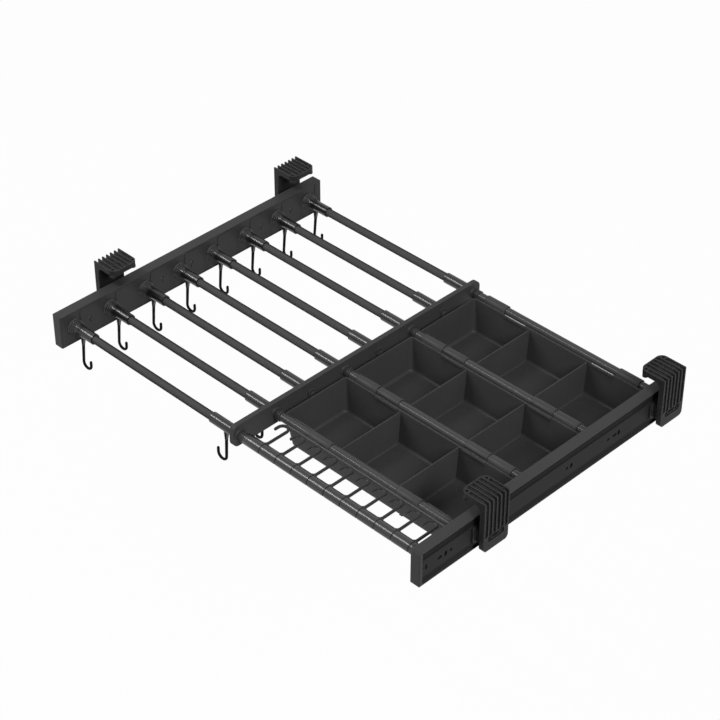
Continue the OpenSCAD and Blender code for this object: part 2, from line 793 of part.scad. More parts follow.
module tie_hook_strip() {
  r1 = bar_r + strip_wall;
  color("#5b5e62") translate([strip_x0, tube_y(0), axis_z]) {
    difference() {
      union() {
        along_x(0, strip_x1 - strip_x0) strip_lip();
        translate([0, 0, -tie_h/2]) linear_extrude(tie_h) tie_comb();
      }
      for (k = [0 : tie_n - 1])
        along_x(tie_side_in + k*tie_pitch - notch_w/2, tie_side_in + k*tie_pitch + notch_w/2)
          difference() {
            translate([-2*r1, -2*r1]) square([2*r1 + bar_r/2, 4*r1]);
            circle(r1 - notch_d);
          }
    }
  }
}

// Brackets. The profile in x and z has its outer faces set back by the depth given; the
// body has a round outer corner, the ribs a sharp one
module bracket_profile(back) {
  w = bracket_out + bracket_reach;
  translate([-bracket_out, -axis_z]) difference() {
    translate([back, -bracket_h]) square([w - back, bracket_h - back]);
    translate([bracket_t, -bracket_h - cut_over])
      square([w, bracket_h - bracket_t + cut_over]);
    if (back > 0) translate([back, -back]) mirror([0, 1]) corner_cut(bracket_bend_r);
  }
  translate([-bracket_out + bracket_t, -axis_z - bracket_t]) difference() {
    translate([-cut_over, -bracket_fillet_r]) square([bracket_fillet_r + cut_over, bracket_fillet_r + cut_over]);
    translate([bracket_fillet_r, -bracket_fillet_r]) circle(bracket_fillet_r);
  }
}

rib_pitch = (bracket_w - rib_w)/(rib_n - 1);
shelf_hole_y = (rib_n/2 - 1)*rib_pitch;
shelf_hole_x = rack_w/2 - bracket_reach + shelf_hole_in;

// Raised rim round the inner end of a bracket's flange, seen from above
module flange_rim() {
  len = bracket_reach + bracket_corner_r;
  intersection() {
    translate([bracket_reach - bracket_corner_r, -bracket_w/2]) square([bracket_corner_r, bracket_w]);
    difference() {
      translate([bracket_reach - len, -bracket_w/2]) round_rect(len, bracket_w, bracket_corner_r);
      translate([bracket_reach - len - rib_w, -bracket_w/2 + rib_w])
        round_rect(len, bracket_w - 2*rib_w, bracket_corner_r - rib_w);
    }
  }
}

module bracket(right, y) {
  recess_top = -recess_drop + recess_h/2;
  color("#45484c") translate([0, y, 0]) on_side(right) {
    difference() {
      union() {
        along_y(-bracket_w/2, bracket_w/2) bracket_profile(rib_depth);
        for (i = [0 : rib_n - 1])
          along_y(-bracket_w/2 + i*rib_pitch, -bracket_w/2 + i*rib_pitch + rib_w)
            bracket_profile(0);
        translate([0, 0, -axis_z - bracket_t + rib_depth]) linear_extrude(bracket_t - rib_depth)
          flange_rim();
        translate([-bracket_out, -bracket_w/2, -axis_z - bracket_h])
          cube([bracket_t, bracket_w, bracket_h + axis_z + recess_top]);
        for (s = [-1, 1])
          translate([bracket_reach - shelf_hole_in, s*shelf_hole_y, -axis_z - bracket_t - shelf_boss_h])
            cylinder(h = bracket_t + shelf_boss_h, r = shelf_boss_r);
      }
      for (s = [-1, 1]) {
        translate([bracket_reach - shelf_hole_in, s*shelf_hole_y,
                   -axis_z - bracket_t - shelf_boss_h - cut_over])
          cylinder(h = bracket_t + shelf_boss_h + 2*cut_over, r = shelf_hole_d/2);
        translate([bracket_reach, s*bracket_w/2, -axis_z - bracket_t - cut_over])
          mirror([1, 0, 0]) mirror([0, s > 0 ? 1 : 0, 0])
            linear_extrude(bracket_t + 2*cut_over) corner_cut(bracket_corner_r);
        along_x(-bracket_out - cut_over, -bracket_out + bracket_t + cut_over)
          translate([s*bracket_w/2, -axis_z - bracket_h])
            mirror([s > 0 ? 1 : 0, 0]) corner_cut(bracket_foot_r);
      }
      difference() {
        along_x(-bracket_out - cut_over, -bracket_out + rib_depth)
          translate([-recess_w/2, recess_top - recess_h]) round_rect(recess_w, recess_h, recess_r);
        translate([0, 0, recess_top - recess_h/2])
          slot_x(-bracket_out + surround_in, -bracket_out + rib_depth + cut_over,
                 plate_slot_len + 2*surround_w, plate_slot_r + surround_w, false);
      }
      translate([0, 0, recess_top - recess_h/2])
        slot_x(-bracket_out, -bracket_out + bracket_t + cut_over, plate_slot_len, plate_slot_r, false);
    }
    difference() {
      union() {
        along_x(-bracket_out + bracket_t - rib_depth/2, slide_inset - foot_t/2)
          translate([-neck_w/2, -neck_h/2]) round_rect(neck_w, neck_h, foot_r);
        along_x(slide_inset - foot_t, slide_inset)
          translate([-foot_w/2, -foot_h/2]) round_rect(foot_w, foot_h, foot_r);
      }
      along_x(-bracket_out, -bracket_out + bracket_t + neck_pocket_d)
        translate([-neck_pocket_w/2, recess_top - recess_h/2 - neck_pocket_h/2])
          round_rect(neck_pocket_w, neck_pocket_h, foot_r);
      for (s = [-1, 1])
        translate([0, s*rivet_y, 0]) rod_x(slide_inset - rivet_len, slide_inset + cut_over, rivet_r + fit_gap);
    }
  }
}

// Flat-headed rivets that hold the cabinet members to the brackets
module bracket_screws() {
  color("#b9bcc0") for (right = [false, true]) on_side(right)
    for (b = [-1, 1], y = [-rivet_y, rivet_y])
      translate([0, b*bracket_pitch/2 + y, 0]) {
        rod_x(slide_inset - rivet_len + fit_gap, slide_inset + sheet_t + fit_gap, rivet_r);
        rod_x(slide_inset + sheet_t, slide_inset + sheet_t + rivet_head_t, rivet_head_r);
      }
}

cabinet_member(false);  // left_cabinet_member
cabinet_member(true);  // right_cabinet_member
bracket(false, -bracket_pitch/2);  // left_front_bracket
bracket(false, bracket_pitch/2);  // left_rear_bracket
bracket(true, -bracket_pitch/2);  // right_front_bracket
bracket(true, bracket_pitch/2);  // right_rear_bracket
bracket_screws();
intermediate_member(false);  // left_intermediate_member
intermediate_member(true);  // right_intermediate_member
ball_cage(false, cage1_u0, (cab_in + mid_half)/2);  // left_outer_ball_cage
ball_cage(true, cage1_u0, (cab_in + mid_half)/2);  // right_outer_ball_cage
ball_cage(false, cage2_u0, (mid_in + drw_half)/2);  // left_inner_ball_cage
ball_cage(true, cage2_u0, (mid_in + drw_half)/2);  // right_inner_ball_cage
drawer_member(false);  // left_drawer_member
drawer_member(true);  // right_drawer_member
beam(false);  // left_beam
beam(true);  // right_beam
front_cap(false);  // left_front_cap
front_cap(true);  // right_front_cap
rear_cap(false);  // left_rear_cap
rear_cap(true);  // right_rear_cap
socket_strip(false);  // left_socket_strip
socket_strip(true);  // right_socket_strip
middle_beam();
for (i = [0 : bar_n - 1]) {
  trouser_bar(i);
  left_hook_sleeve(i);
  middle_hook_sleeve(i);
}
for (k = [0 : len(tube_slots) - 1])
  cross_tube(k);
tray(0);  // tray_front
tray(1);  // tray_middle
tray(2);  // tray_rear
tie_hook_strip();
tube_sockets();
slide_screws();
bar_screws();
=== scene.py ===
"""Pull-out trouser rack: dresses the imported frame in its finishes, lights it, sets the camera.

Lengths are in metres in the row frame: +X right, +Y back, +Z up, origin in the middle of the
shelf screws. MM turns a length in millimetres into metres.
"""
import math

import bpy
import numpy as np
from mathutils import Matrix, Vector


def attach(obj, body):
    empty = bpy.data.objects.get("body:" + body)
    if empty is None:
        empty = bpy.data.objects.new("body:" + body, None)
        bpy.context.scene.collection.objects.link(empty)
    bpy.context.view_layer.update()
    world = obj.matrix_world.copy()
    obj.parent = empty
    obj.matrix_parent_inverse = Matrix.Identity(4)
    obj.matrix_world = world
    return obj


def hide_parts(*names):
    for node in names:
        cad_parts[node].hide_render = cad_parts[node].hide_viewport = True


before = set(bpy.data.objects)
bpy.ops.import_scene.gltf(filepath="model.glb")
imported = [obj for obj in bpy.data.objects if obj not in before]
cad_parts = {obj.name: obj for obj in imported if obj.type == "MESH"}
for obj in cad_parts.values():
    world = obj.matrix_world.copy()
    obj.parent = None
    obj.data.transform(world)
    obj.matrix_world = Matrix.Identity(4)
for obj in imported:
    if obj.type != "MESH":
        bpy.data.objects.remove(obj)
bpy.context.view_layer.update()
MM = 0.001

# Sizes shared with the CAD model, in millimetres
AXIS_Z = -59.5
BEAM_FRONT_Y, BAR_INSET = -289.0, 25.0
BAR_PITCH = 450 / 7
BAR_Y = BEAM_FRONT_Y + BAR_INSET + BAR_PITCH * np.arange(8)
TUBE_Y = BAR_Y[[0, 1, 3, 5, 7]]
BAR_R, SLEEVE_R = 6.0, 7.9
SCREW_FACE_X, STRIP_FACE_X = 4.75, 334.5

# Trays, in millimetres; heights are counted down from the bar axis
TRAYS = ("front", "middle", "rear")
TRAY_XC, TRAY_HALF_X, TRAY_HALF_Y = 168.45, 156.55, BAR_PITCH - 7.3
TRAY_H, TRAY_WALL, TRAY_DRAFT, TRAY_FOOT, TRAY_INNER_FOOT = 54.5, 1.9, 4.0, 7.0, 4.5
RIM_R, FOOT_R, INNER_RIM_R, INNER_FOOT_R = 4.5, 9.0, 2.8, 7.0
RIM_EDGE, RIM_EDGE_PART = 0.45, 0.13
WALL_Z = (-24.0, -8.0, -6.6, -5.4, -4.2, -3.0)
DIVIDER_HALF, DIVIDER_TOP, DIVIDER_SUNK = 0.8, -1.6, 0.3
BUMP_R, BUMP_H, BUMP_SUNK, BUMP_X, BUMP_Y = 2.6, 0.7, 0.02, 38, 37

# Tray clips: width, places along the rear and the front side, and the step beside a clip
CLIP_W, CLIP_INNER, CLIP_OUTER = 38.0, 79.0, 120.0
CLIP_GAP, CLIP_T, CLIP_END = 0.2, 1.4, 152.0
STEP_IN, STEP_SIDE, STEP_TOP, STEP_LOW = 1.5, 1.0, 3.0, 8.0

# Tie-hook strip on the front tube
STRIP_X0, STRIP_X1, STRIP_R, STRIP_GAP = 15.9, 321.0, 8.0, 0.1
NOTCH_DEPTH, NOTCH_ON = 0.9, 4.4
BAND_BACK, BAND_GAP, BAND_HALF_H = 10.5, 0.6, 1.55
HOOK_X = STRIP_X0 + 26.9 + 29.6 * np.arange(10)
HOOK_GAP, HOOK_BEND_Y, HOOK_TIP = 15.2, 46.3, 6.0
HOOK_HALF_W, HOOK_HALF_H, HOOK_ROOT_R, HOOK_ROOT_END = 1.8, 2.0, 4.0, 14.5

# Hanging hooks below the sleeves
DROP_Z, DROP_BEND, DROP_TIP, DROP_R, DROP_SWELL = 53.35, 8.05, 6.0, 2.0, 0.3
# Sleeve root in X, direction, X from the root to the stem's top and to its foot
DROP_ROWS = ((-334.2, 1, 16.9, 13.0), (-3.5, -1, 19.4, 21.6))

# Turns at which a rod closes as a half sphere, in degrees
CLOSING = np.radians([0, 30, 55, 75, 88])


# Shared shader effects
def new_group(name, inputs, outputs):
    """Empty shader group with float inputs {name: default} and outputs {name: socket type}."""
    group = bpy.data.node_groups.new(name, "ShaderNodeTree")
    for key, value in inputs.items():
        socket = group.interface.new_socket(key, in_out="INPUT", socket_type="NodeSocketFloat")
        socket.default_value = value
    for key, kind in outputs.items():
        group.interface.new_socket(key, in_out="OUTPUT", socket_type=kind)
    return group, group.nodes.new("NodeGroupInput"), group.nodes.new("NodeGroupOutput")


def put(nodes, kind, settings=None, **values):
    """New node of a kind, with its settings and the values of its unlinked sockets."""
    made = nodes.new(kind)
    for key, value in (settings or {}).items():
        setattr(made, key, value)
    for key, value in values.items():
        made.inputs[key.replace("_", " ")].default_value = value
    return made


def math_node(nodes, links, operation, a, b=None, clamp=False):
    """Math node over two sockets or numbers; gives its output socket."""
    made = nodes.new("ShaderNodeMath")
    made.operation, made.use_clamp = operation, clamp
    for index, value in enumerate((a, b)):
        if value is None:
            continue
        if isinstance(value, (int, float)):
            made.inputs[index].default_value = value
        else:
            links.new(value, made.inputs[index])
    return made.outputs[0]


def map_range(nodes, links, value, start, end, low, high):
    """Runs from low at start to high at end, and stays level beyond both."""
    made = put(nodes, "ShaderNodeMapRange", From_Min=start, From_Max=end, To_Min=low, To_Max=high)
    links.new(value, made.inputs["Value"])
    return made.outputs["Result"]


def mix_colour(nodes, links, share, tone, other):
    """Mixes a colour socket with a plain colour by a share; 6, 7 and 2 are the colour sockets."""
    mix = put(nodes, "ShaderNodeMix", {"data_type": "RGBA"})
    mix.inputs[7].default_value = (*other, 1)
    links.new(share, mix.inputs[0])
    links.new(tone, mix.inputs[6])
    return mix.outputs[2]


def moulded_grain():
    """Fine pebbled grain of a moulded or powder-coated skin.

    Height = cells^2 + 0.5 noise, both at the given size in millimetres, from Object coordinates.
    """
    group, inlet, outlet = new_group(
        "moulded_grain", {"Size": 0.6}, {"Height": "NodeSocketFloat"})
    nodes, links = group.nodes, group.links
    place = nodes.new("ShaderNodeTexCoord")
    scale = math_node(nodes, links, "DIVIDE", 1000.0, inlet.outputs["Size"])
    cells = put(nodes, "ShaderNodeTexVoronoi", {"feature": "F1"})
    noise = put(nodes, "ShaderNodeTexNoise", Detail=2.0, Roughness=0.6)
    for texture in (cells, noise):
        links.new(place.outputs["Object"], texture.inputs["Vector"])
        links.new(scale, texture.inputs["Scale"])
    round_cells = math_node(nodes, links, "POWER", cells.outputs["Distance"], 2.0)
    half_noise = math_node(nodes, links, "MULTIPLY", noise.outputs["Fac"], 0.5)
    links.new(math_node(nodes, links, "ADD", round_cells, half_noise), outlet.inputs["Height"])
    return group


def edge_finish():
    """Rounded arrises and a mask of where they are.

    Normal is the surface normal averaged over the radius; Edge = 6 (1 - dot(true normal,
    Normal)), clamped, so that only the arris itself shows.
    """
    group, inlet, outlet = new_group(
        "edge_finish", {"Radius": 0.0006},
        {"Normal": "NodeSocketVector", "Edge": "NodeSocketFloat"})
    nodes, links = group.nodes, group.links
    bevel = put(nodes, "ShaderNodeBevel", {"samples": 4})
    links.new(inlet.outputs["Radius"], bevel.inputs["Radius"])
    geometry = nodes.new("ShaderNodeNewGeometry")
    dot = put(nodes, "ShaderNodeVectorMath", {"operation": "DOT_PRODUCT"})
    links.new(bevel.outputs["Normal"], dot.inputs[0])
    links.new(geometry.outputs["Normal"], dot.inputs[1])
    turned = math_node(nodes, links, "SUBTRACT", 1.0, dot.outputs["Value"])
    mask = math_node(nodes, links, "MULTIPLY", turned, 6.0, clamp=True)
    links.new(bevel.outputs["Normal"], outlet.inputs["Normal"])
    links.new(mask, outlet.inputs["Edge"])
    return group


def handling_marks():
    """Broad, soft patches where a surface is a little duller or cleaner, 0 to 1.

    Two noises, at the given size in millimetres and at a seventh of it, are added 0.7 to 0.3.
    """
    group, inlet, outlet = new_group(
        "handling_marks", {"Size": 60.0}, {"Marks": "NodeSocketFloat"})
    nodes, links = group.nodes, group.links
    place = nodes.new("ShaderNodeTexCoord")
    scale = math_node(nodes, links, "DIVIDE", 1000.0, inlet.outputs["Size"])
    fine = math_node(nodes, links, "MULTIPLY", scale, 7.0)
    broad_noise = put(nodes, "ShaderNodeTexNoise", Detail=3.0, Roughness=0.55)
    fine_noise = put(nodes, "ShaderNodeTexNoise", Detail=2.0, Roughness=0.5)
    for texture, size in ((broad_noise, scale), (fine_noise, fine)):
        links.new(place.outputs["Object"], texture.inputs["Vector"])
        links.new(size, texture.inputs["Scale"])
    broad = math_node(nodes, links, "MULTIPLY", broad_noise.outputs["Fac"], 0.7)
    small = math_node(nodes, links, "MULTIPLY", fine_noise.outputs["Fac"], 0.3)
    links.new(math_node(nodes, links, "ADD", broad, small), outlet.inputs["Marks"])
    return group


GRAIN, EDGE, MARKS = moulded_grain(), edge_finish(), handling_marks()


def use_group(nodes, group, **values):
    """Places a shared effect in a material with its own values."""
    made = put(nodes, "ShaderNodeGroup", {"node_tree": group})
    for key, value in values.items():
        made.inputs[key].default_value = value
    return made


# Finishes
def grey(level, blue=1.01):
    """Neutral grey, a little bluer by the given factor."""
    return level, level, level * blue


def zone_tone(nodes, links, tone, axis, centre, near, far, colour):
    """Its own colour less than near millimetres from the centre along an axis, gone at far."""
    place, split = nodes.new("ShaderNodeTexCoord"), nodes.new("ShaderNodeSeparateXYZ")
    links.new(place.outputs["Object"], split.inputs[0])
    away = math_node(nodes, links, "ABSOLUTE",
                     math_node(nodes, links, "SUBTRACT", split.outputs[axis], centre * MM))
    inside = map_range(nodes, links, away, near * MM, far * MM, 1.0, 0.0)
    return mix_colour(nodes, links, inside, tone, colour)


def edge_on_shade_tone(nodes, links, tone, shade_depth):
    """Painted shade at silhouettes: darkens the colour towards black where the surface is seen
    edge on, by up to the given share over a facing of 0.3 to 0.7.
    """
    facing = put(nodes, "ShaderNodeLayerWeight", Blend=0.5).outputs["Facing"]
    lost = map_range(nodes, links, facing, 0.3, 0.7, 0.0, shade_depth)
    return mix_colour(nodes, links, lost, tone, (0.0, 0.0, 0.0))


def finish_material(name, colour, edge_light_and_wear, rough, grain, edge_mm, specular=0.5, metallic=0.0,
                    marks_mm=60.0, zone=None, edge_on_shade=None):
    """Material with a grained skin, soft patches, and arrises painted lighter, as wear and as a
    painted highlight.

    Rough is its middle and its span, grain its size and its depth in millimetres. Base Color
    runs from colour to the lighter edge colour by 0.25 marks + 0.75 edge, so the edges carry a
    painted highlight as well as wear; Roughness is middle + span (marks - 0.5) - 0.1 edge; the
    grain's height feeds a bump of its depth on the rounded normal. The zone holds the values of
    zone_tone; the last argument is how deep a painted shade darkens the colour where the surface
    is seen edge on.
    """
    rough_middle, rough_span = rough
    grain_size, grain_depth = grain
    material = bpy.data.materials.new(name)
    material.use_nodes = True
    nodes, links = material.node_tree.nodes, material.node_tree.links
    skin = nodes["Principled BSDF"]
    skin.inputs["Metallic"].default_value = metallic
    skin.inputs["Specular IOR Level"].default_value = specular
    edge = use_group(nodes, EDGE, Radius=edge_mm * MM)
    marks = use_group(nodes, MARKS, Size=marks_mm)
    height = use_group(nodes, GRAIN, Size=grain_size)
    share = math_node(nodes, links, "ADD",
                      math_node(nodes, links, "MULTIPLY", marks.outputs["Marks"], 0.25),
                      math_node(nodes, links, "MULTIPLY", edge.outputs["Edge"], 0.75), clamp=True)
    # Lighter at the arrises: wear plus a painted highlight along the edges.
    ramp = nodes.new("ShaderNodeValToRGB")
    ramp.color_ramp.elements[0].color = (*colour, 1)
    ramp.color_ramp.elements[1].color = (*edge_light_and_wear, 1)
    links.new(share, ramp.inputs["Fac"])
    tone = ramp.outputs["Color"]
    if zone:
        tone = zone_tone(nodes, links, tone, **zone)
    # Painted shade: the colour darkens where the surface is seen edge on.
    if edge_on_shade:
        tone = edge_on_shade_tone(nodes, links, tone, edge_on_shade)
    links.new(tone, skin.inputs["Base Color"])
    centred = math_node(nodes, links, "SUBTRACT", marks.outputs["Marks"], 0.5)
    patch = math_node(nodes, links, "MULTIPLY", centred, rough_span)
    worn_edge = math_node(nodes, links, "MULTIPLY", edge.outputs["Edge"], -0.1)
    change = math_node(nodes, links, "ADD", patch, worn_edge)
    links.new(math_node(nodes, links, "ADD", rough_middle, change, clamp=True),
              skin.inputs["Roughness"])
    bump = put(nodes, "ShaderNodeBump", Strength=1.0, Distance=grain_depth * MM)
    links.new(height.outputs["Height"], bump.inputs["Height"])
    links.new(edge.outputs["Normal"], bump.inputs["Normal"])
    links.new(bump.outputs["Normal"], skin.inputs["Normal"])
    return material


# Slide colour by height: the web, within 12.6 mm of the bar axis, takes the lighter grey; the ball
# tracks above and below keep the darker base, a painted shade for the shadow under the beam's
# flange.
PAINTED_TRACK_SHADE = {"axis": 2, "centre": AXIS_Z, "near": 12.6, "far": 13.4, "colour": grey(0.027)}
LEFT_ROOTS = {"axis": 0, "centre": -360.0, "near": 34.0, "far": 40.0, "colour": grey(0.024)}

# Each finish's second colour shows a little in the soft patches and most on the arrises: wear
# there plus a painted highlight along the edges.
FINISHES = {
    "beam_coat": finish_material(
        "beam_powder_coat", grey(0.033), grey(0.080), (0.5, 0.12), (0.35, 0.012), 0.6, 0.12),
    # Its base colour is the painted shade on the ball tracks; the web's grey comes from the zone.
    "slide_zinc": finish_material(
        "blackened_slide_zinc", grey(0.008), grey(0.056), (0.5, 0.16), (0.25, 0.004), 0.35, 0.03,
        zone=PAINTED_TRACK_SHADE),
    "cage_steel": finish_material(
        "cage_and_ball_steel", grey(0.22, 1.045), grey(0.35, 1.03), (0.3, 0.1), (0.2, 0.002), 0.2,
        metallic=1.0),
    "bracket_nylon": finish_material(
        "bracket_nylon", grey(0.005), grey(0.130), (0.4, 0.1), (0.5, 0.012), 0.6, 0.08),
    "trim_plastic": finish_material(
        "trim_plastic", grey(0.029), grey(0.070), (0.38, 0.1), (0.4, 0.008), 0.5, 0.12),
    "strip_gloss": finish_material(
        "tie_strip_gloss", grey(0.008), grey(0.036), (0.28, 0.04), (5.0, 0.002), 0.4, 0.56),
    "hook_plastic": finish_material(
        "tie_hook_plastic", grey(0.012), grey(0.120), (0.36, 0.08), (0.4, 0.004), 0.5, 0.14),
    "hook_black": finish_material(
        "hanging_hook_plastic", grey(0.004), grey(0.010), (0.45, 0.08), (0.5, 0.004), 0.3, 0.04),
    "tray_plastic": finish_material(
        "tray_plastic", grey(0.037), grey(0.110), (0.42, 0.1), (0.9, 0.012), 0.6, 0.12),
    "sleeve_plastic": finish_material(
        "sleeve_plastic", grey(0.006), grey(0.020), (0.27, 0.04), (5.0, 0.002), 0.4, 0.48,
        zone=LEFT_ROOTS),
    # The bar coat darkens where it is seen edge on: painted shade at its silhouettes.
    "bar_grain": finish_material(
        "anti_slip_bar_coat", grey(0.052), grey(0.130), (0.6, 0.15), (2.4, 0.60), 0.3, 0.05,
        marks_mm=3.0, edge_on_shade=1.0),
    "tube_gloss": finish_material(
        "tube_gloss_coat", grey(0.045), grey(0.068), (0.24, 0.06), (5.0, 0.003), 0.4, 0.15),
    "screw_black": finish_material(
        "blackened_screw_steel", grey(0.03, 1.03), grey(0.12, 1.04), (0.35, 0.1), (0.2, 0.002),
        0.2, metallic=0.6),
}

NODE_FINISH = {
    "cabinet_member": "slide_zinc", "intermediate_member": "slide_zinc",
    "drawer_member": "slide_zinc", "ball_cage": "cage_steel", "bracket_screws": "screw_black",
    "bracket": "bracket_nylon", "slide_screws": "screw_black", "bar_screws": "screw_black",
    "front_cap": "trim_plastic", "rear_cap": "trim_plastic", "socket_strip": "trim_plastic",
    "tube_sockets": "trim_plastic", "middle_beam": "beam_coat", "beam": "beam_coat",
    "trouser_bar": "bar_grain", "cross_tube": "tube_gloss", "tray": "tray_plastic",
    "tie_hook_strip": "trim_plastic", "hook_sleeve": "sleeve_plastic",
}


def dress_nodes():
    """Gives every CAD node the finish whose key its name holds, the longest key first."""
    for name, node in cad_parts.items():
        key = next(k for k in sorted(NODE_FINISH, key=len, reverse=True) if k in name)
        node.data.materials.clear()
        node.data.materials.append(FINISHES[NODE_FINISH[key]])


# Surfaces
def capped(points, flip=False):
    """Part (points, quads, end polygons) of a stack of closed rings, given as rings x points x 3.

    The rings run against the clock seen from the last one, or with it where flip is set.
    """
    rows, columns = points.shape[:2]
    i, j = np.arange(rows - 1)[:, None], np.arange(columns)[None, :]
    after = (j + 1) % columns
    quads = np.stack([i * columns + j, i * columns + after,
                      (i + 1) * columns + after, (i + 1) * columns + j], -1).reshape(-1, 4)
    ends = [np.arange(columns)[::-1], (rows - 1) * columns + np.arange(columns)]
    if flip:
        quads, ends = quads[:, ::-1], [end[::-1] for end in ends]
    return points, quads, ends


def make_piece(name, parts, finish, body, replaced=()):
    """Object from (points in mm, quads, end polygons) parts, riding on a CAD body."""
    points, faces, base = [], [], 0
    for place, quads, ends in parts:
        points.append(place.reshape(-1, 3))
        faces += (quads + base).tolist()
        faces += [[int(k) + base for k in end] for end in ends]
        base += len(points[-1])
    mesh = bpy.data.meshes.new(name)
    mesh.from_pydata((np.concatenate(points) * MM).tolist(), [], faces)
    mesh.update()
    mesh.shade_smooth()
    mesh.set_sharp_from_angle(angle=math.radians(35.0))
    piece = bpy.data.objects.new(name, mesh)
    bpy.context.collection.objects.link(piece)
    mesh.materials.append(FINISHES[finish])
    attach(piece, body)
    if replaced:
        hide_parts(*replaced)
    return piece


def superellipse(degrees, power):
    """The pair cos^power, sin^power of each angle, both with their signs."""
    a = np.radians(degrees)
    return [np.sign(v) * np.abs(v) ** power for v in (np.cos(a), np.sin(a))]


def directions(path):
    """Unit direction of a path of n x 2 points at each of them, from its neighbours."""
    run = np.gradient(path, axis=0)
    return run / np.linalg.norm(run, axis=1, keepdims=True)


def round_outline(hx, hy, r, steps=10):
    """Rectangle of half sizes hx, hy with corner arcs: corner centre + r (cos a, sin a)."""
    turn = np.linspace(0, 90, steps + 1)
    quarters = np.array([[1, 1], [-1, 1], [-1, -1], [1, -1]])
    angle = np.radians(turn[None, :] + 90 * np.arange(4)[:, None])
    x = quarters[:, :1] * (hx - r) + r * np.cos(angle)
    y = quarters[:, 1:] * (hy - r) + r * np.sin(angle)
    return np.stack([x.ravel(), y.ravel()], -1)


def tray_rings():
    """Half sizes, corner radius and height of the tray's rings, from the outer floor inwards.

    The walls lean in by the draft over the depth and their corners widen on the way down; the
    feet are quarter rounds and the rim's two edges are rounded.
    """
    quarter = np.radians(np.linspace(0, 90, 8))
    widening = FOOT_R - RIM_R
    rings = []
    for a in quarter:
        rings.append((TRAY_DRAFT + TRAY_FOOT * (1 - math.sin(a)),
                      FOOT_R - (TRAY_FOOT / 2) * (1 - math.sin(a)),
                      -TRAY_H + TRAY_FOOT * (1 - math.cos(a))))
    for z in WALL_Z:
        rings.append((-TRAY_DRAFT * z / TRAY_H, RIM_R - widening * z / TRAY_H, z))
    rings += [(0.0, RIM_R, -RIM_EDGE), (RIM_EDGE_PART, RIM_R - 0.1, -RIM_EDGE_PART),
              (RIM_EDGE, RIM_R - 0.4, 0.0), (TRAY_WALL - RIM_EDGE, INNER_RIM_R + 0.3, 0.0),
              (TRAY_WALL - RIM_EDGE_PART, INNER_RIM_R + 0.1, -RIM_EDGE_PART),
              (TRAY_WALL, INNER_RIM_R, -RIM_EDGE)]
    for z in WALL_Z[::-1]:
        rings.append((TRAY_WALL - TRAY_DRAFT * z / TRAY_H, INNER_RIM_R - widening * z / TRAY_H, z))
    for a in quarter:
        rings.append((TRAY_DRAFT + TRAY_WALL + TRAY_INNER_FOOT * (1 - math.cos(a)),
                      INNER_FOOT_R - (TRAY_INNER_FOOT / 2) * (1 - math.cos(a)),
                      -TRAY_H + TRAY_WALL + TRAY_INNER_FOOT * (1 - math.sin(a))))
    return [(TRAY_HALF_X - back, TRAY_HALF_Y - back, r, z) for back, r, z in rings]


def side_steps(middle):
    """Points along a long side where its wall steps in, in mm, and how deep (0 to 1).

    A step is a clip's width and STEP_SIDE more at each end, with slanted ends, at +-middle.
    """
    half = CLIP_W / 2 + STEP_SIDE
    slant, share = np.array([0.0, 0.4, 1.2, 1.6]), np.array([0.0, 0.15, 0.85, 1.0])
    x = middle + np.concatenate([half - slant, slant[::-1] - half])
    depth = np.concatenate([share, share[::-1]])
    return np.concatenate([x, -x[::-1]]), np.concatenate([depth, depth[::-1]])


def tray_ring(hx, hy, r, z):
    """One ring of the tray: round corners, long sides stepped in for a neighbour's clips.

    The step is STEP_IN deep at the rim and runs out from STEP_TOP to STEP_LOW below it along
    3t^2 - 2t^3.
    """
    share = min(max((z + STEP_LOW) / (STEP_LOW - STEP_TOP), 0.0), 1.0)
    step = STEP_IN * share * share * (3 - 2 * share)
    corners = round_outline(hx, hy, r).reshape(4, -1, 2)
    rear_x, deep = side_steps(CLIP_INNER)
    front_x, _ = side_steps(CLIP_OUTER)
    rear = np.column_stack([rear_x, hy - step * deep])
    front = np.column_stack([-front_x, step * deep - hy])
    outline = np.concatenate([corners[0], rear, corners[1], corners[2], front, corners[3]])
    return np.column_stack([outline, np.full(len(outline), z)])


def tray_shell(yc):
    """Tray body: the rings as one closed skin with a flat floor inside and outside."""
    return capped(np.array([tray_ring(*ring) for ring in tray_rings()]) + (TRAY_XC, yc, AXIS_Z))


def tray_divider(xc, yc):
    """Divider: a web with a half-round top and a flared foot, its ends inside the walls."""
    foot_z = -TRAY_H + TRAY_WALL - DIVIDER_SUNK
    flare = np.array([[2.2, 0.0], [0.9, 0.6], [0.25, 1.6], [0.0, 3.2]])
    right = flare + (DIVIDER_HALF, foot_z)
    turn = np.radians(np.linspace(0, 180, 9))
    top = DIVIDER_HALF * np.column_stack([np.cos(turn), np.sin(turn)])
    profile = np.concatenate([right, top + (0.0, DIVIDER_TOP - DIVIDER_HALF),
                              right[::-1] * (-1.0, 1.0)])
    reach = (TRAY_HALF_Y - TRAY_WALL / 2) + TRAY_DRAFT * profile[:, 1] / TRAY_H
    points = np.empty((2, len(profile), 3))
    points[..., 0] = profile[None, :, 0] + TRAY_XC + xc
    points[..., 1] = np.array([[-1.0], [1.0]]) * reach[None, :] + yc
    points[..., 2] = profile[None, :, 1] + AXIS_Z
    return capped(points, flip=True)


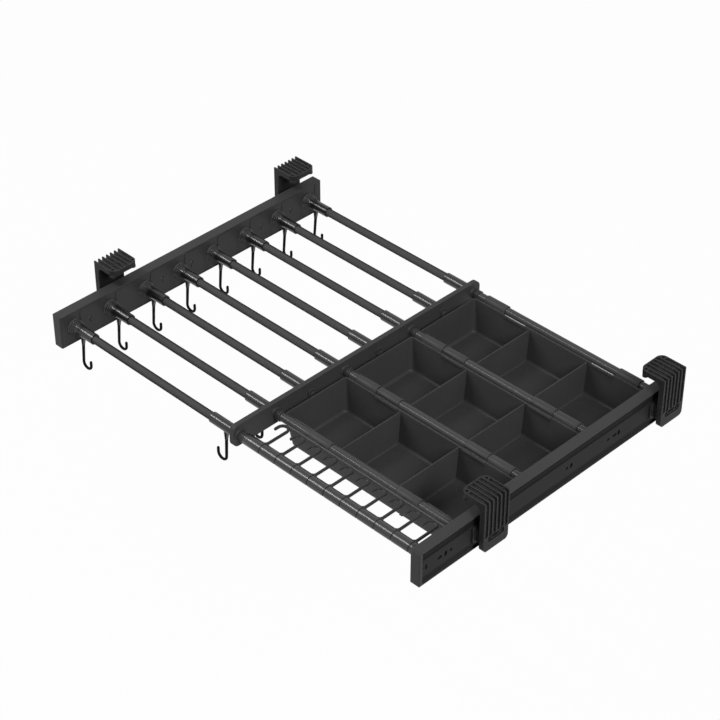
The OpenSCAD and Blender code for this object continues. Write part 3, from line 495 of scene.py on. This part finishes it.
def clip_loop(side):
    """Section of a tray clip as (y, z): an arc over its tube from the wall to CLIP_END.

    Outer arc, rounded free edge, inner arc, then the root inside the wall.
    """
    r0 = BAR_R + CLIP_GAP
    r1 = r0 + CLIP_T
    middle, half = (r0 + r1) / 2, (r1 - r0) / 2
    arc = np.radians(np.linspace(0, CLIP_END, 24))
    lip = np.radians(np.linspace(0, 180, 7))[1:-1, None]
    end = math.radians(CLIP_END)
    across = np.array([math.cos(end), math.sin(end)])
    along = np.array([-math.sin(end), math.cos(end)])
    tip = across * (middle + half * np.cos(lip)) + along * (0.7 * half * np.sin(lip))
    root = [[r0, -2.4], [r1 + 0.9, -3.6], [r1 + 1.2, -0.6], [r1 + 0.5, -0.15]]
    outer = r1 * np.column_stack([np.cos(arc), np.sin(arc)])
    inner = r0 * np.column_stack([np.cos(arc[::-1]), np.sin(arc[::-1])])
    loop = np.concatenate([outer, tip, inner, root])
    loop[:, 0] *= side
    return loop if side > 0 else loop[::-1]


def tray_clip(x0, x1, y, side):
    """Clip: its section carried from x0 to x1, both ends drawn in by 0.3 mm over 0.3 mm."""
    loop = clip_loop(side)
    x = np.array([x0, x0 + 0.1, x0 + 0.3, x1 - 0.3, x1 - 0.1, x1])
    inset = np.array([0.3, 0.1, 0.0, 0.0, 0.1, 0.3])
    step = np.roll(loop, -1, 0) - np.roll(loop, 1, 0)
    normal = np.column_stack([step[:, 1], -step[:, 0]])
    normal /= np.linalg.norm(normal, axis=1, keepdims=True)
    section = loop[None] - inset[:, None, None] * normal[None]
    points = np.empty((len(x), len(loop), 3))
    points[..., 0] = x[:, None] + TRAY_XC
    points[..., 1:] = section + (y, AXIS_Z)
    return capped(points)


def dome(x, y, z, radius, rise):
    """Polar grid about (x, y, z) that faces up; rise holds its height for each ring and turn."""
    rows, columns = rise.shape
    r = np.linspace(0, radius, rows + 1)[1:, None]
    a = np.radians(np.arange(0, 360, 360 / columns))[None, :]
    points = np.empty((rows, columns, 3))
    points[..., 0] = x + r * np.cos(a)
    points[..., 1] = y + r * np.sin(a)
    points[..., 2] = z + rise
    points, quads, ends = capped(points, flip=True)
    return points, quads, ends[:1]


def floor_bump(x, y):
    """Low bump on a tray floor: z = h (1 - (r/R)^2)^2 over a polar grid."""
    share = np.linspace(0, 1, 6)[1:, None]
    rise = np.repeat(BUMP_H * (1 - share ** 2) ** 2, 18, axis=1)
    return dome(x, y, AXIS_Z - TRAY_H + TRAY_WALL - BUMP_SUNK, BUMP_R, rise)


def build_trays():
    """Three trays with two dividers, four clips and small floor bumps each."""
    third, half = TRAY_HALF_X / 3, CLIP_W / 2
    for k, name in enumerate(TRAYS):
        body = f"{name}_tray"
        yc = (TUBE_Y[k + 1] + TUBE_Y[k + 2]) / 2
        clips = [tray_clip(s * middle - half, s * middle + half, yc - side * BAR_PITCH, side)
                 for middle, side in ((CLIP_INNER, 1), (CLIP_OUTER, -1)) for s in (-1, 1)]
        bumps = [floor_bump(TRAY_XC + c * 2 * third + sx * BUMP_X, yc + sy * BUMP_Y)
                 for c in (-1, 0, 1) for sx in (-1, 1) for sy in (-1, 1)]
        make_piece(f"{name}_tray_shell", [tray_shell(yc)], "tray_plastic", body,
                   [f"tray_{name}"])
        make_piece(f"{name}_tray_dividers", [tray_divider(-third, yc), tray_divider(third, yc)],
                   "tray_plastic", body)
        make_piece(f"{name}_tray_clips", clips, "tray_plastic", body)
        make_piece(f"{name}_tray_floor_bumps", bumps, "tray_plastic", body)


def tie_hook(x):
    """Level tie hook: a rounded section carried along an arm, a half circle and a short tip.

    The arm's half width w grows to its root as w + R - sqrt(R^2 - (end - y)^2); the section is
    the superellipse (w cos^0.6, h sin^0.6); the tip closes as a half circle.
    """
    arm = np.array([9.0, 10.6, 10.8, 11.3, 12.0, 13.0, HOOK_ROOT_END, 20.0, 32.0])
    bend = np.radians(np.linspace(0, 180, 19))
    tip = np.concatenate([[2.0, 4.4], HOOK_TIP + HOOK_HALF_W * np.sin(CLOSING)])
    half = HOOK_GAP / 2
    path = np.concatenate([
        np.column_stack([np.full(len(arm), x), arm]),
        np.column_stack([x - half + half * np.cos(bend), HOOK_BEND_Y + half * np.sin(bend)]),
        np.column_stack([np.full(len(tip), x - HOOK_GAP), HOOK_BEND_Y - tip])])
    width, height = np.full(len(path), HOOK_HALF_W), np.full(len(path), HOOK_HALF_H)
    root = np.clip(HOOK_ROOT_END - arm, 0.0, HOOK_ROOT_R - 0.02)
    width[:len(arm)] += HOOK_ROOT_R - np.sqrt(HOOK_ROOT_R ** 2 - root ** 2)
    width[-len(CLOSING):] *= np.cos(CLOSING)
    height[-len(CLOSING):] *= np.cos(CLOSING)
    run = directions(path)
    side = np.column_stack([run[:, 1], -run[:, 0]])
    cos, sin = superellipse(np.arange(0, 360, 22.5), 0.6)
    points = np.empty((len(path), len(cos), 3))
    points[..., :2] = path[:, None, :] + side[:, None, :] * (width[:, None] * cos)[..., None]
    points[..., 2] = height[:, None] * sin
    return capped(points + (0.0, TUBE_Y[0], AXIS_Z), flip=True)


def strip_lip():
    """Lip over the front tube: an open ring carried along X, thinner at each notch."""
    notch = (HOOK_X[:, None] + NOTCH_ON + np.array([-0.8, -0.65, 0.65, 0.8])).ravel()
    x = np.concatenate([[STRIP_X0, STRIP_X0 + 0.15, STRIP_X0 + 0.5], notch,
                        [STRIP_X1 - 0.5, STRIP_X1 - 0.15, STRIP_X1]])
    lost = np.concatenate([[0.5, 0.15, 0.0], np.tile([0.0, NOTCH_DEPTH, NOTCH_DEPTH, 0.0], 10),
                           [0.0, 0.15, 0.5]])[:, None]
    outer = np.radians(np.linspace(-26, 206, 45))
    inner = np.radians(np.linspace(215, -35, 41))
    radius = np.column_stack([np.repeat(STRIP_R - lost, len(outer), axis=1),
                              np.full((len(x), len(inner)), BAR_R + STRIP_GAP)])
    turn = np.concatenate([outer, inner])
    points = np.empty((len(x), len(turn), 3))
    points[..., 0] = x[:, None]
    points[..., 1] = TUBE_Y[0] + radius * np.cos(turn)
    points[..., 2] = AXIS_Z + radius * np.sin(turn)
    return capped(points)


def strip_band():
    """Flat band behind the lip that carries the hooks: superellipse of power 0.35 along X."""
    x = np.array([STRIP_X0, STRIP_X0 + 0.1, STRIP_X0 + 0.4,
                  STRIP_X1 - 0.4, STRIP_X1 - 0.1, STRIP_X1])
    inset = np.array([0.4, 0.1, 0.0, 0.0, 0.1, 0.4])[:, None]
    cos, sin = superellipse(np.arange(7.5, 360, 15), 0.35)
    half_y = (BAND_BACK - BAR_R - BAND_GAP) / 2
    points = np.empty((len(x), len(cos), 3))
    points[..., 0] = x[:, None]
    points[..., 1] = BAND_BACK - half_y + (half_y - inset) * cos + TUBE_Y[0]
    points[..., 2] = (BAND_HALF_H - inset) * sin + AXIS_Z
    return capped(points)


def build_tie_strip():
    """Tie-hook strip: the notched lip, its band and ten hooks."""
    make_piece("tie_strip_lip", [strip_lip(), strip_band()], "strip_gloss", "pull_out_frame",
               ["tie_hook_strip"])
    make_piece("tie_strip_hooks", [tie_hook(x) for x in HOOK_X], "hook_plastic",
               "pull_out_frame")


def hanging_hook(y, root, facing, top, foot):
    """Skin of a hook below a sleeve: stem, half circle and tip, closed as a half sphere.

    The stem leans from top to foot between the sleeve and the bend, and swells by DROP_SWELL
    towards the sleeve.
    """
    stem = np.linspace(0.0, 1.0, 10)
    bend = np.radians(np.linspace(0, 180, 19))[1:]
    tip = np.append(3.0, DROP_TIP + DROP_R * np.sin(CLOSING))
    x = np.concatenate([top + (foot - top) * stem, foot + DROP_BEND * (1 - np.cos(bend)),
                        np.full(len(tip), foot + 2 * DROP_BEND)])
    z = np.concatenate([-SLEEVE_R + (SLEEVE_R - DROP_Z) * stem, -DROP_Z - DROP_BEND * np.sin(bend),
                        tip - DROP_Z])
    run = directions(np.column_stack([x, z]))
    radius = np.full(len(x), DROP_R)
    radius[:len(stem)] += DROP_SWELL * (1 - stem)
    radius[-len(CLOSING):] *= np.cos(CLOSING)
    a = np.radians(np.arange(0, 360, 22.5))
    wide = radius[:, None] * np.cos(a)
    points = np.empty((len(x), len(a), 3))
    points[..., 0] = root + facing * (x[:, None] + run[:, 1:] * wide)
    points[..., 1] = y + radius[:, None] * np.sin(a)
    points[..., 2] = AXIS_Z + z[:, None] - run[:, :1] * wide
    return capped(points, flip=facing < 0)


def build_hanging_hooks():
    """Full-bodied skins of the hooks below the sleeves at both ends of the bars."""
    hooks = [hanging_hook(y, *row) for row in DROP_ROWS for y in BAR_Y]
    make_piece("hanging_hook_skins", hooks, "hook_black", "pull_out_frame")


def screw_head(place, facing, radius, height, turn):
    """Pan head with a cross recess, facing along +X or -X.

    Height over the polar grid = h sqrt(1 - 0.8 (r/R)^2) - 0.75 h cross, where cross is a
    smooth step of the distance to the nearer of two arms.
    """
    r = np.linspace(0, 1, 15)[1:, None] * radius
    a = np.radians(np.arange(0, 360, 7.5))[None, :]
    x, y = r * np.cos(a + turn), r * np.sin(a + turn)
    arm = np.minimum(np.abs(x), np.abs(y)) - 0.13 * radius
    soft = 0.1 * radius
    cross = np.clip(0.5 - arm / soft, 0, 1) * np.clip((0.62 * radius - r) / soft, 0, 1)
    rise = height * np.sqrt(1 - 0.8 * (r / radius) ** 2) - 0.75 * height * cross
    rise[-1] = 0
    up, quads, ends = dome(0.0, 0.0, 0.0, radius, rise)
    points = np.array(place) + np.stack([facing * up[..., 2], facing * up[..., 0], up[..., 1]], -1)
    return points, quads, ends


def build_screw_heads():
    """Cross-recess heads on the three bar screws and on the ten screws of the inner strips."""
    heads = [screw_head((SCREW_FACE_X, BAR_Y[i], AXIS_Z), 1, 3.2, 0.9, 0.4 * i) for i in (2, 4, 6)]
    make_piece("middle_beam_screw_heads", heads, "screw_black", "pull_out_frame")
    # Panels with a screw, and how far it sits from the panel's middle in shares of the pitch
    panel_screws = ((0, -0.09), (2, -0.02), (3, -0.155), (5, -0.017), (6, -0.076))
    heads = []
    for side in (-1, 1):
        for k, shift in panel_screws:
            y = (BAR_Y[k] + BAR_Y[k + 1]) / 2 + shift * BAR_PITCH
            heads.append(screw_head((side * STRIP_FACE_X, y, AXIS_Z + 3), -side, 2.8, 0.8,
                                    k + 0.5 * side))
    make_piece("strip_screw_heads", heads, "screw_black", "pull_out_frame")


# Stage, lamps and camera
FLOOR_HALF, FLOOR_Z, FLOOR_MATT, FLOOR_GLOW = 9.0, -0.62, 0.45, 0.975
AIR_LEVEL, AIR_SEEN = 0.32, 1.0
LAMP_AIM = (0.0, -0.04, -0.06)
# Lamps: name, place in metres, width along X, height, watts
LAMPS = (
    ("broad_front_right", (2.7, -0.8, 2.2), 1.0, 1.0, 84.0),
    ("narrow_over_left", (-1.47, -1.2, 1.72), 1.8, 0.1, 38.0),
)
CAMERA_PLACE = (1.66726, -1.71399, 1.72953)
CAMERA_DOWN, CAMERA_TURN, CAMERA_LENS, CAMERA_SENSOR = 37.138, 44.87, 108.97, 36.0


def seen_share(nodes, links):
    """1 for camera, glossy and transmission rays, 0 for the light that falls on the rack."""
    path = nodes.new("ShaderNodeLightPath")
    bounced = math_node(nodes, links, "ADD", path.outputs["Is Glossy Ray"],
                        path.outputs["Is Transmission Ray"])
    return math_node(nodes, links, "ADD", path.outputs["Is Camera Ray"], bounced, clamp=True)


def build_stage():
    """Pale floor far below the rack; where it is seen it is nearly white, with a soft shadow."""
    mesh = bpy.data.meshes.new("studio_floor")
    corners = [(x * FLOOR_HALF, y * FLOOR_HALF, FLOOR_Z)
               for x, y in ((-1, -1), (1, -1), (1, 1), (-1, 1))]
    mesh.from_pydata(corners, [], [(0, 1, 2, 3)])
    floor = bpy.data.objects.new("studio_floor", mesh)
    bpy.context.collection.objects.link(floor)
    material = bpy.data.materials.new("studio_white")
    material.use_nodes = True
    nodes, links = material.node_tree.nodes, material.node_tree.links
    nodes.clear()
    matt = put(nodes, "ShaderNodeBsdfDiffuse", Color=(FLOOR_MATT, FLOOR_MATT, FLOOR_MATT, 1))
    glow = put(nodes, "ShaderNodeEmission", Color=(1, 1, 1, 1), Strength=1.0)
    clear = nodes.new("ShaderNodeBsdfTransparent")
    side = nodes.new("ShaderNodeNewGeometry")
    share = math_node(nodes, links, "MULTIPLY", seen_share(nodes, links), FLOOR_GLOW)
    pale, open_below = nodes.new("ShaderNodeMixShader"), nodes.new("ShaderNodeMixShader")
    links.new(share, pale.inputs[0])
    links.new(matt.outputs[0], pale.inputs[1])
    links.new(glow.outputs[0], pale.inputs[2])
    links.new(side.outputs["Backfacing"], open_below.inputs[0])
    links.new(pale.outputs[0], open_below.inputs[1])
    links.new(clear.outputs[0], open_below.inputs[2])
    links.new(open_below.outputs[0], nodes.new("ShaderNodeOutputMaterial").inputs["Surface"])
    mesh.materials.append(material)


def build_lights():
    """Even world light, white where it is seen, a broad lamp and a narrow one laid along X."""
    world = bpy.data.worlds.new("studio_air")
    bpy.context.scene.world = world
    world.use_nodes = True
    nodes, links = world.node_tree.nodes, world.node_tree.links
    background = nodes["Background"]
    background.inputs["Color"].default_value = (1, 1, 1, 1)
    strength = map_range(nodes, links, seen_share(nodes, links), 0.0, 1.0, AIR_LEVEL, AIR_SEEN)
    links.new(strength, background.inputs["Strength"])
    for name, place, wide, tall, power in LAMPS:
        lamp = bpy.data.lights.new(name, "AREA")
        lamp.shape, lamp.size, lamp.size_y, lamp.energy = "RECTANGLE", wide, tall, power
        thing = bpy.data.objects.new(name, lamp)
        thing.location = place
        back = (Vector(place) - Vector(LAMP_AIM)).normalized()
        side = (Vector((1, 0, 0)) - back * back.x).normalized()
        thing.rotation_euler = Matrix((side, back.cross(side), back)).transposed().to_euler()
        bpy.context.collection.objects.link(thing)


def build_camera():
    """Camera solved from the photo's edges: its place, no roll, and a lens for a square frame."""
    data = bpy.data.cameras.new("photo_view")
    data.sensor_fit, data.sensor_width, data.lens = "HORIZONTAL", CAMERA_SENSOR, CAMERA_LENS
    data.clip_start, data.clip_end = 0.05, 50.0
    camera = bpy.data.objects.new("photo_view", data)
    camera.location = CAMERA_PLACE
    camera.rotation_euler = (math.radians(90 - CAMERA_DOWN), 0.0, math.radians(CAMERA_TURN))
    bpy.context.collection.objects.link(camera)
    bpy.context.scene.camera = camera


build_camera()
dress_nodes()
build_trays()
build_tie_strip()
build_hanging_hooks()
build_screw_heads()
build_stage()
build_lights()
bpy.context.scene.view_settings.view_transform = "Standard"
